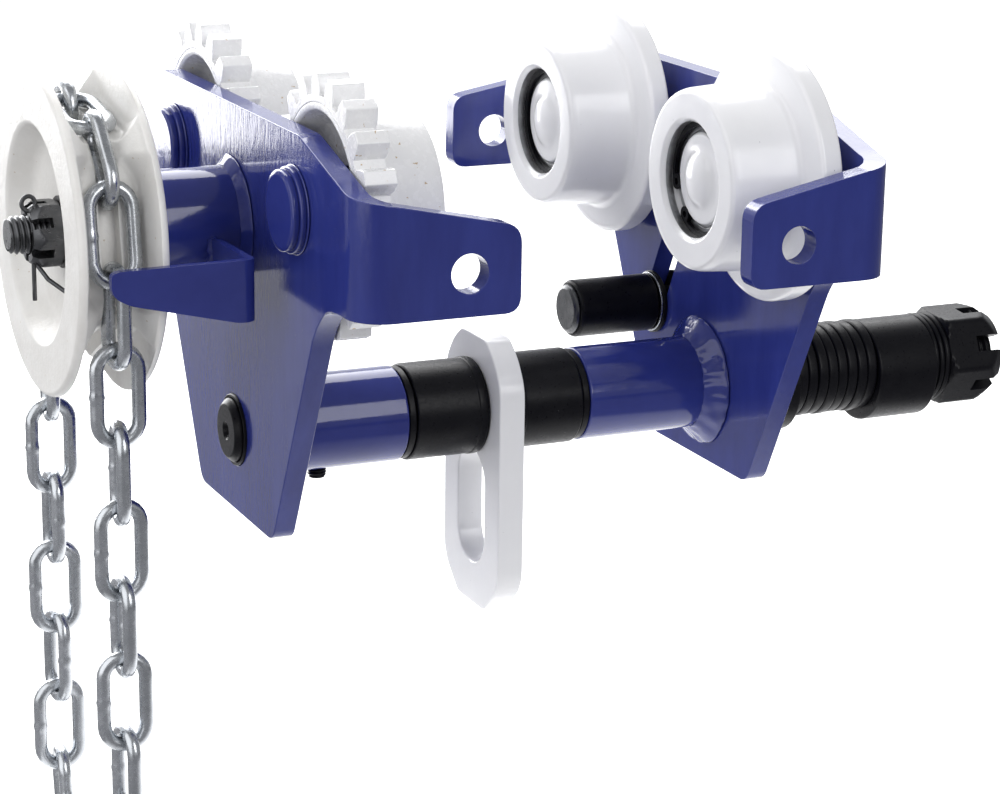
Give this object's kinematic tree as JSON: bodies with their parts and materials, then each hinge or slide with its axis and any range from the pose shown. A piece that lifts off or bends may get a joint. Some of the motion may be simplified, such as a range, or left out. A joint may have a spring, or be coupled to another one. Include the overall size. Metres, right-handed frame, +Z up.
{
  "type": "beam trolley",
  "caption": "Geared beam trolley: side plates on a load bar with flanged wheels, pinion drive, hand wheel, hand chain, load plate and spacer washers.",
  "frame": {"origin": "on the running surface under the wheel treads, midway between the side plates and midway between the axles", "axes": "+X across the beam along the load bar towards its castle nut, +Y along the beam away from the chain guide, +Z up"},
  "size_m": [0.4077, 0.25, 0.336],
  "materials": {
    "blue_paint": "deep blue gloss paint on steel",
    "white_paint": "white gloss paint on steel",
    "cast_white": "off-white paint on a casting",
    "black_steel": "black oxide, satin",
    "grey_steel": "grey steel, satin",
    "zinc": "bright zinc plating"
  },
  "bodies": {
    "frame": {"geared_side_plate": "blue_paint", "plain_side_plate": "blue_paint", "geared_axle_near": "blue_paint", "geared_axle_far": "blue_paint", "plain_axle_near": "blue_paint", "plain_axle_far": "blue_paint", "geared_spacer_tube": "blue_paint", "geared_tube_weld": "blue_paint", "bush_ring_geared": "black_steel", "bush_geared": "black_steel", "bush_plain": "black_steel", "bush_ring_plain": "black_steel", "plain_spacer_tube": "blue_paint", "plain_tube_weld": "blue_paint", "tube_set_screw": "black_steel", "load_bar": "black_steel", "bar_split_pin": "grey_steel", "bar_castle_nut": "black_steel", "sleeve_inner": "black_steel", "sleeve_outer": "black_steel", "width_washer_1": "black_steel", "width_washer_2": "black_steel", "width_washer_3": "black_steel", "width_washer_4": "black_steel", "width_washer_5": "black_steel", "width_washer_6": "black_steel", "width_washer_7": "black_steel", "width_washer_8": "black_steel", "nut_washer_1": "black_steel", "nut_washer_2": "black_steel", "nut_washer_3": "black_steel", "drive_shaft_housing": "blue_paint", "housing_weld": "blue_paint", "chain_guide": "blue_paint", "anti_tilt_stud": "grey_steel", "anti_tilt_washer": "grey_steel", "anti_tilt_nut": "black_steel"},
    "geared_wheel_near": {"geared_wheel_near": "white_paint", "geared_bearing_near": "grey_steel", "geared_circlip_near": "black_steel"},
    "geared_wheel_far": {"geared_wheel_far": "white_paint", "geared_bearing_far": "grey_steel", "geared_circlip_far": "black_steel"},
    "plain_wheel_near": {"plain_wheel_near": "white_paint", "plain_bearing_near": "grey_steel", "plain_circlip_near": "black_steel"},
    "plain_wheel_far": {"plain_wheel_far": "white_paint", "plain_bearing_far": "grey_steel", "plain_circlip_far": "black_steel"},
    "drive": {"drive_shaft": "grey_steel", "hand_wheel": "cast_white", "shaft_castle_nut": "grey_steel", "shaft_split_pin": "grey_steel"},
    "load_plate": {"load_plate": "white_paint"},
    "anti_tilt_roller": {"anti_tilt_roller": "black_steel"},
    "hand_chain": {"hand_chain": "zinc"}
  },
  "joints": [
    {"name": "geared_wheel_near_spin", "type": "hinge", "parent": "frame", "child": "geared_wheel_near", "pos_m": [-0.07, -0.06527, 0.0326], "axis": [1, 0, 0], "continuous": true},
    {"name": "geared_wheel_far_spin", "type": "hinge", "parent": "frame", "child": "geared_wheel_far", "pos_m": [-0.07, 0.06527, 0.0326], "axis": [1, 0, 0], "continuous": true},
    {"name": "drive_spin", "type": "hinge", "parent": "frame", "child": "drive", "pos_m": [-0.14, 0, 0.0166], "axis": [1, 0, 0], "continuous": true},
    {"name": "plain_wheel_near_spin", "type": "hinge", "parent": "frame", "child": "plain_wheel_near", "pos_m": [0.07, -0.06527, 0.0326], "axis": [1, 0, 0], "continuous": true},
    {"name": "plain_wheel_far_spin", "type": "hinge", "parent": "frame", "child": "plain_wheel_far", "pos_m": [0.07, 0.06527, 0.0326], "axis": [1, 0, 0], "continuous": true},
    {"name": "load_plate_swing", "type": "hinge", "parent": "frame", "child": "load_plate", "pos_m": [-0.00025, 0, -0.0625], "axis": [1, 0, 0], "range_deg": [-60, 60]},
    {"name": "anti_tilt_roller_spin", "type": "hinge", "parent": "frame", "child": "anti_tilt_roller", "pos_m": [0.071, 0.0405, -0.0395], "axis": [1, 0, 0], "continuous": true},
    {"name": "hand_chain_sway", "type": "hinge", "parent": "frame", "child": "hand_chain", "pos_m": [-0.158, 0, 0.0166], "axis": [1, 0, 0], "range_deg": [-8, 8]}
  ],
  "couplings": [
    {"joint": "geared_wheel_far_spin", "follows": "geared_wheel_near_spin", "ratio": 1},
    {"joint": "drive_spin", "follows": "geared_wheel_near_spin", "ratio": -1.6667}
  ]
}
